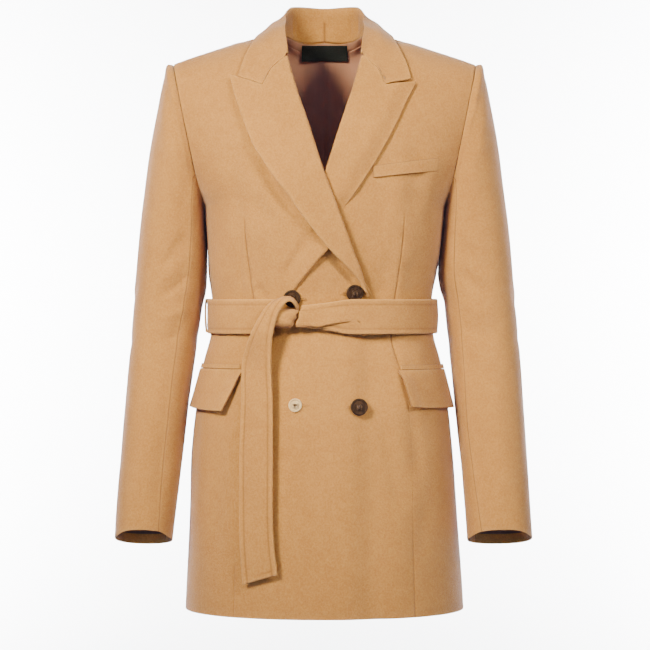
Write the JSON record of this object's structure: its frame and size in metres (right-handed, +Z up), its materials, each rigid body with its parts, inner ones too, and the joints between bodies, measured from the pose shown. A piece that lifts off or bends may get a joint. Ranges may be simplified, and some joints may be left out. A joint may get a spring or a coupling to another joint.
{
  "type": "belted wool coat",
  "caption": "Hip-length double-breasted wool coat with peaked lapels, flap pockets and a knotted tie belt, hollow as if worn.",
  "frame": {"origin": "middle of the neck base, level with the two points where neck and shoulder seams meet, where the wearer's shoulders and neck hold the coat", "axes": "+Z up along the body, -Y is the coat's front, +X is the wearer's left"},
  "size_m": [0.542, 0.2612, 0.7912],
  "materials": {
    "wool": "brushed wool coating with a short soft nap",
    "lining": "smooth woven lining with a soft sheen",
    "dark_button": "polished dark brown, mottled",
    "pale_button": "polished pale ivory",
    "label": "plain black woven tape"
  },
  "bodies": {
    "root": {"back_left": "wool", "back_right": "wool", "belt_around": "wool", "belt_fold": "wool", "belt_knot": "wool", "belt_loop_left": "wool", "belt_loop_right": "wool", "belt_tail_back": "wool", "belt_tail_front": "wool", "button_lower_left": "dark_button", "button_lower_right": "pale_button", "button_upper_left": "dark_button", "button_upper_right": "dark_button", "chest_welt": "wool", "collar": "wool", "front_left": "wool", "front_right": "wool", "lapel_left": "wool", "lapel_right": "wool", "lining_back": "lining", "neck_label": "label", "pocket_flap_left": "wool", "pocket_flap_right": "wool", "pocket_jet_left": "wool", "pocket_jet_right": "wool", "sleeve_under_left": "wool", "sleeve_under_right": "wool", "sleeve_upper_left": "wool", "sleeve_upper_right": "wool"}
  },
  "joints": []
}
